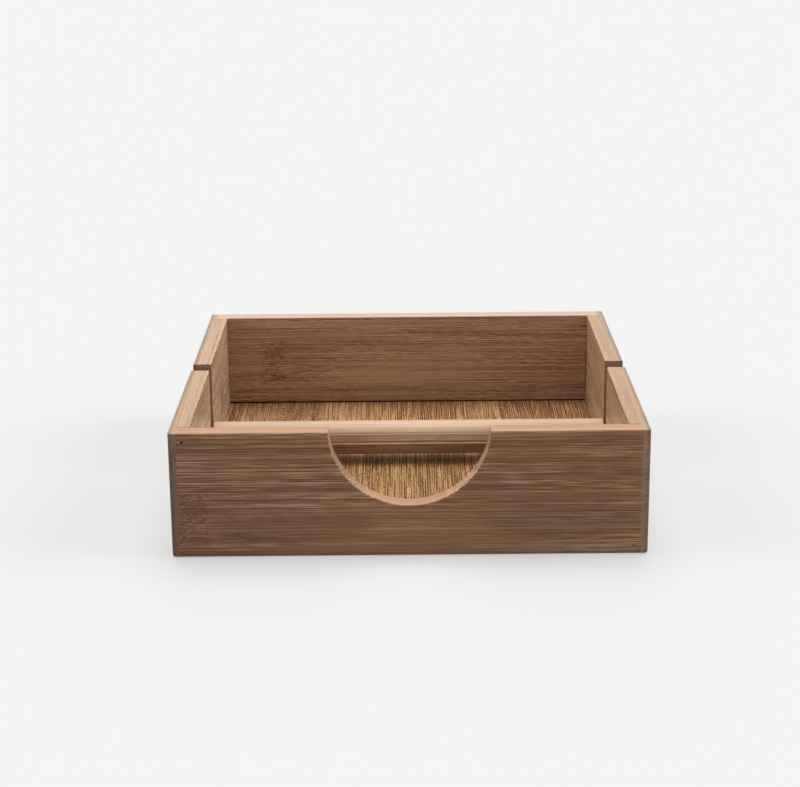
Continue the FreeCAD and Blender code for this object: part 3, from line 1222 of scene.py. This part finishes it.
@dataclass
class Tray:
    """The open box: four walls, the floor that lies in their grooves, and the brads."""

    brad_sink: float = 0.8 * MM
    filler_radius: float = 0.57 * MM
    filler_dip: float = 0.04 * MM
    filler_round: float = 0.08 * MM
    filler_sides: int = 28

    def build(self) -> None:
        """Dress the walls, the floor and the brads, and fill the brad holes."""
        dress("front_panel", FRONT_BAMBOO.mix())
        dress("back_panel", BACK_BAMBOO.mix())
        dress("left_side_panel", LEFT_BAMBOO.mix())
        dress("right_side_panel", RIGHT_BAMBOO.mix())
        dress("floor_panel", FLOOR_BAMBOO.mix())
        steel = SteelFinish().mix()
        for corner in ("front_left", "front_right", "back_left", "back_right"):
            dress(f"{corner}_brads", steel)
        self._fill_brad_holes()

    def _fill_brad_holes(self) -> None:
        """Fill every brad hole but the front's upper left one, which was left open."""
        putty = PuttyFinish().mix()
        for end, outward in (("front", -1.0), ("back", 1.0)):
            for side in ("left", "right"):
                low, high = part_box(f"{end}_{side}_brads")
                across = (low.x + high.x) / 2
                face = min(low.y, high.y) if outward < 0 else max(low.y, high.y)
                radius = (high.x - low.x) / 2
                for level, height in (("low", low.z + radius), ("high", high.z - radius)):
                    if (end, side, level) == ("front", "left", "high"):
                        continue
                    name = f"{end}_{side}_filler_{level}"
                    self._make_filler(name, Vector((across, face, height)), outward, putty)

    def _make_filler(self, name: str, brad_end: Vector, outward: float, putty: Material) -> None:
        """Make one plug of filler on the end of a sunk brad.

        Args:
            name: The piece's name.
            brad_end: The middle of the brad's outer end.
            outward: Which way along Y leads out of the panel, 1 or -1.
            putty: The filler's material.
        """
        length = self.brad_sink - self.filler_dip
        mesh = bmesh.new()
        bmesh.ops.create_cone(
            mesh,
            cap_ends=True,
            segments=self.filler_sides,
            radius1=self.filler_radius,
            radius2=self.filler_radius,
            depth=length,
        )
        upper = [edge for edge in mesh.edges if all(vert.co.z > 0 for vert in edge.verts)]
        ease(mesh, upper, self.filler_round)
        turn = Matrix.Rotation(-outward * math.pi / 2, 3, "X")
        bmesh.ops.rotate(mesh, verts=mesh.verts, matrix=turn)
        middle = brad_end + Vector((0, outward * length / 2, 0))
        bmesh.ops.translate(mesh, verts=mesh.verts, vec=middle)
        piece = make_piece(name, mesh, putty)
        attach(piece, "tray")


@dataclass
class HoldDownBar:
    """The bar that lies on the napkins: a square rail and a half-round cap glued to it."""

    crown_steps: int = 72
    seam_height: float = 3.9 * MM
    seam_half_width: float = 0.16 * MM
    seam_dip: float = 0.10 * MM
    seam_reach: float = 0.001 * MM
    arris_round: float = 0.25 * MM
    arris_angle: float = math.radians(60)

    def build(self) -> None:
        """Dress the rail, then make the cap that stands for the plain one."""
        dress("bar_rail", RAIL_BAMBOO.mix())
        piece = self._make_cap(CAP_BAMBOO.mix())
        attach(piece, "bar")
        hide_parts("bar_cap")

    def _make_cap(self, finish: Material) -> Object:
        """Sweep a half circle over the seat, draw it out along the bar and ease its arrises.

        Args:
            finish: The cap's material.

        Returns:
            The cap.
        """
        low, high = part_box("bar_cap")
        radius = high.z - low.z
        seat = low.z
        mesh = bmesh.new()
        start = mesh.verts.new((low.x, -radius, seat))
        bmesh.ops.spin(
            mesh,
            geom=[start],
            cent=(low.x, 0, seat),
            axis=(1, 0, 0),
            angle=-math.pi,
            steps=self.crown_steps,
        )
        section = bmesh.ops.contextual_create(mesh, geom=list(mesh.verts))["faces"]
        drawn = bmesh.ops.extrude_face_region(mesh, geom=section)["geom"]
        moved = [item for item in drawn if isinstance(item, BMVert)]
        bmesh.ops.translate(mesh, verts=moved, vec=(high.x - low.x, 0, 0))
        sharp = [edge for edge in mesh.edges if edge.calc_face_angle(0.0) > self.arris_angle]
        ease(mesh, sharp, self.arris_round)
        self._press_seam(mesh, seat)
        return make_piece("half_round_cap", mesh, finish)

    def _press_seam(self, mesh: BMesh, seat: float) -> None:
        """Cut three lines round the cap and sink the middle one, where two plies are glued.

        Args:
            mesh: The cap.
            seat: The height of the cap's flat side.
        """
        line = seat + self.seam_height
        for offset in (-self.seam_half_width, 0.0, self.seam_half_width):
            geometry = [*mesh.verts, *mesh.edges, *mesh.faces]
            height = line + offset
            bmesh.ops.bisect_plane(mesh, geom=geometry, plane_co=(0, 0, height), plane_no=(0, 0, 1))
        for vert in mesh.verts:
            if abs(vert.co.z - line) < self.seam_reach:
                vert.co.y -= math.copysign(self.seam_dip, vert.co.y)


@dataclass(frozen=True)
class Lamp:
    """A broad, distant lamp. Angles are in degrees.

    The level is the light on a surface that faces the lamp, where 1 shows white as white. The
    spread is the angle that the lamp takes up in the sky. The lamp hangs straight above before
    it is turned about X and about Y.
    """

    name: str
    level: float
    spread: float
    turn_x: float = 0.0
    turn_y: float = 0.0
    mirrored: bool = True

    def hang(self) -> None:
        """Hang the lamp."""
        light = bpy.data.lights.new(self.name, "SUN")
        light.energy = self.level * math.pi
        light.angle = math.radians(self.spread)
        holder = bpy.data.objects.new(self.name, light)
        holder.rotation_euler = (math.radians(self.turn_x), math.radians(self.turn_y), 0.0)
        holder.visible_glossy = self.mirrored
        bpy.context.scene.collection.objects.link(holder)


@dataclass
class Studio:
    """A pale floor, a white surround, lamps above, behind, in front and at the sides, a camera.

    Lengths are in metres, and the lens and the sensor in millimetres.
    """

    camera_place: tuple[float, float, float] = (-0.00247, -0.8056, 0.28006)
    camera_pitch: float = math.radians(16.64)
    camera_yaw: float = math.radians(-0.081)
    camera_roll: float = math.radians(-0.523)
    lens: float = 85.7
    sensor: float = 36.0
    white: float = 0.905
    sky: float = 0.24
    floor_reach: float = 9.0
    floor_drop: float = 0.2 * MM
    floor_shown: float = 0.35
    floor_glow: float = 0.455
    floor_felt: float = 0.13
    lamps: tuple[Lamp, ...] = (
        Lamp("top_lamp", 0.53, 40, turn_x=-17),
        Lamp("rear_lamp", 0.15, 40, turn_x=-54, mirrored=False),
        Lamp("front_lamp", 0.145, 30, turn_x=82),
        Lamp("left_lamp", 0.36, 40, turn_y=-60),
        Lamp("right_lamp", 0.50, 40, turn_y=60),
    )

    def build(self) -> None:
        """Set up the world, the lamps, the floor and the camera."""
        bpy.context.scene.view_settings.view_transform = "Standard"
        self._light_world()
        for lamp in self.lamps:
            lamp.hang()
        self._lay_floor()
        self._place_camera()

    @staticmethod
    def _seen(graph: NodeGraph) -> Reading:
        """Tell rays that look, mirror or pass through from those that only carry light.

        Args:
            graph: The graph that the nodes go into.

        Returns:
            A reading that is 1 for the first kinds and 0 for the others.
        """
        path = graph.node("ShaderNodeLightPath", {}, {})
        kinds = ("Is Camera Ray", "Is Glossy Ray", "Is Transmission Ray")
        looks, mirrors, passes = (Reading(graph, path.outputs[kind]) for kind in kinds)
        return looks.larger(mirrors).larger(passes)

    def _light_world(self) -> None:
        """Make a surround that looks white and lights the holder at a lower, plain level."""
        world = bpy.data.worlds.new("surround")
        bpy.context.scene.world = world
        graph = NodeGraph(world)
        strength = self._seen(graph) * (self.white - self.sky) + self.sky
        links = {"Color": WHITE, "Strength": strength}
        background = graph.node("ShaderNodeBackground", {}, links)
        graph.node("ShaderNodeOutputWorld", {}, {0: background.outputs[0]})

    def _lay_floor(self) -> None:
        """Lay a pale floor just under the holder."""
        mesh = bmesh.new()
        bmesh.ops.create_grid(mesh, x_segments=1, y_segments=1, size=self.floor_reach)
        bmesh.ops.translate(mesh, verts=mesh.verts, vec=(0, 0, -self.floor_drop))
        data = bpy.data.meshes.new("floor")
        mesh.to_mesh(data)
        mesh.free()
        floor = bpy.data.objects.new("floor", data)
        bpy.context.scene.collection.objects.link(floor)
        data.materials.append(self._mix_floor())

    def _mix_floor(self) -> Material:
        """Make a floor that keeps a faint shadow, glows to the eye and is clear from below.

        Returns:
            The floor's material.
        """
        material = bpy.data.materials.new("pale_floor")
        graph = NodeGraph(material)
        seen = self._seen(graph)
        colour = graph.mix(seen, grey(self.floor_felt), grey(self.floor_shown))
        matt = graph.node("ShaderNodeBsdfDiffuse", {}, {"Color": colour})
        shine = {"Color": WHITE, "Strength": seen * self.floor_glow}
        glow = graph.node("ShaderNodeEmission", {}, shine)
        lit = graph.node("ShaderNodeAddShader", {}, {0: matt.outputs[0], 1: glow.outputs[0]})
        clear = graph.node("ShaderNodeBsdfTransparent", {}, {})
        facing = graph.node("ShaderNodeNewGeometry", {}, {})
        links = {0: facing.outputs["Backfacing"], 1: lit.outputs[0], 2: clear.outputs[0]}
        both = graph.node("ShaderNodeMixShader", {}, links)
        graph.node("ShaderNodeOutputMaterial", {}, {0: both.outputs[0]})
        return material

    def _place_camera(self) -> None:
        """Put the camera in front of the holder, a little above it."""
        pitch, yaw, roll = self.camera_pitch, self.camera_yaw, self.camera_roll
        forward = Vector(
            (math.sin(yaw) * math.cos(pitch), math.cos(yaw) * math.cos(pitch), -math.sin(pitch))
        )
        level_right = Vector((math.cos(yaw), -math.sin(yaw), 0.0))
        level_up = level_right.cross(forward)
        right = level_right * math.cos(roll) + level_up * math.sin(roll)
        up = level_up * math.cos(roll) - level_right * math.sin(roll)
        data = bpy.data.cameras.new("camera")
        data.lens = self.lens
        data.sensor_width = self.sensor
        camera = bpy.data.objects.new("camera", data)
        turn = Matrix((right, up, -forward)).transposed()
        camera.matrix_world = Matrix.Translation(self.camera_place) @ turn.to_4x4()
        bpy.context.scene.collection.objects.link(camera)
        bpy.context.scene.camera = camera


def main() -> None:
    """Build the studio, the tray and the bar, in that order."""
    logging.basicConfig(level=logging.INFO, format="%(message)s")
    Studio().build()
    Tray().build()
    HoldDownBar().build()


if __name__ == "__main__":
    main()
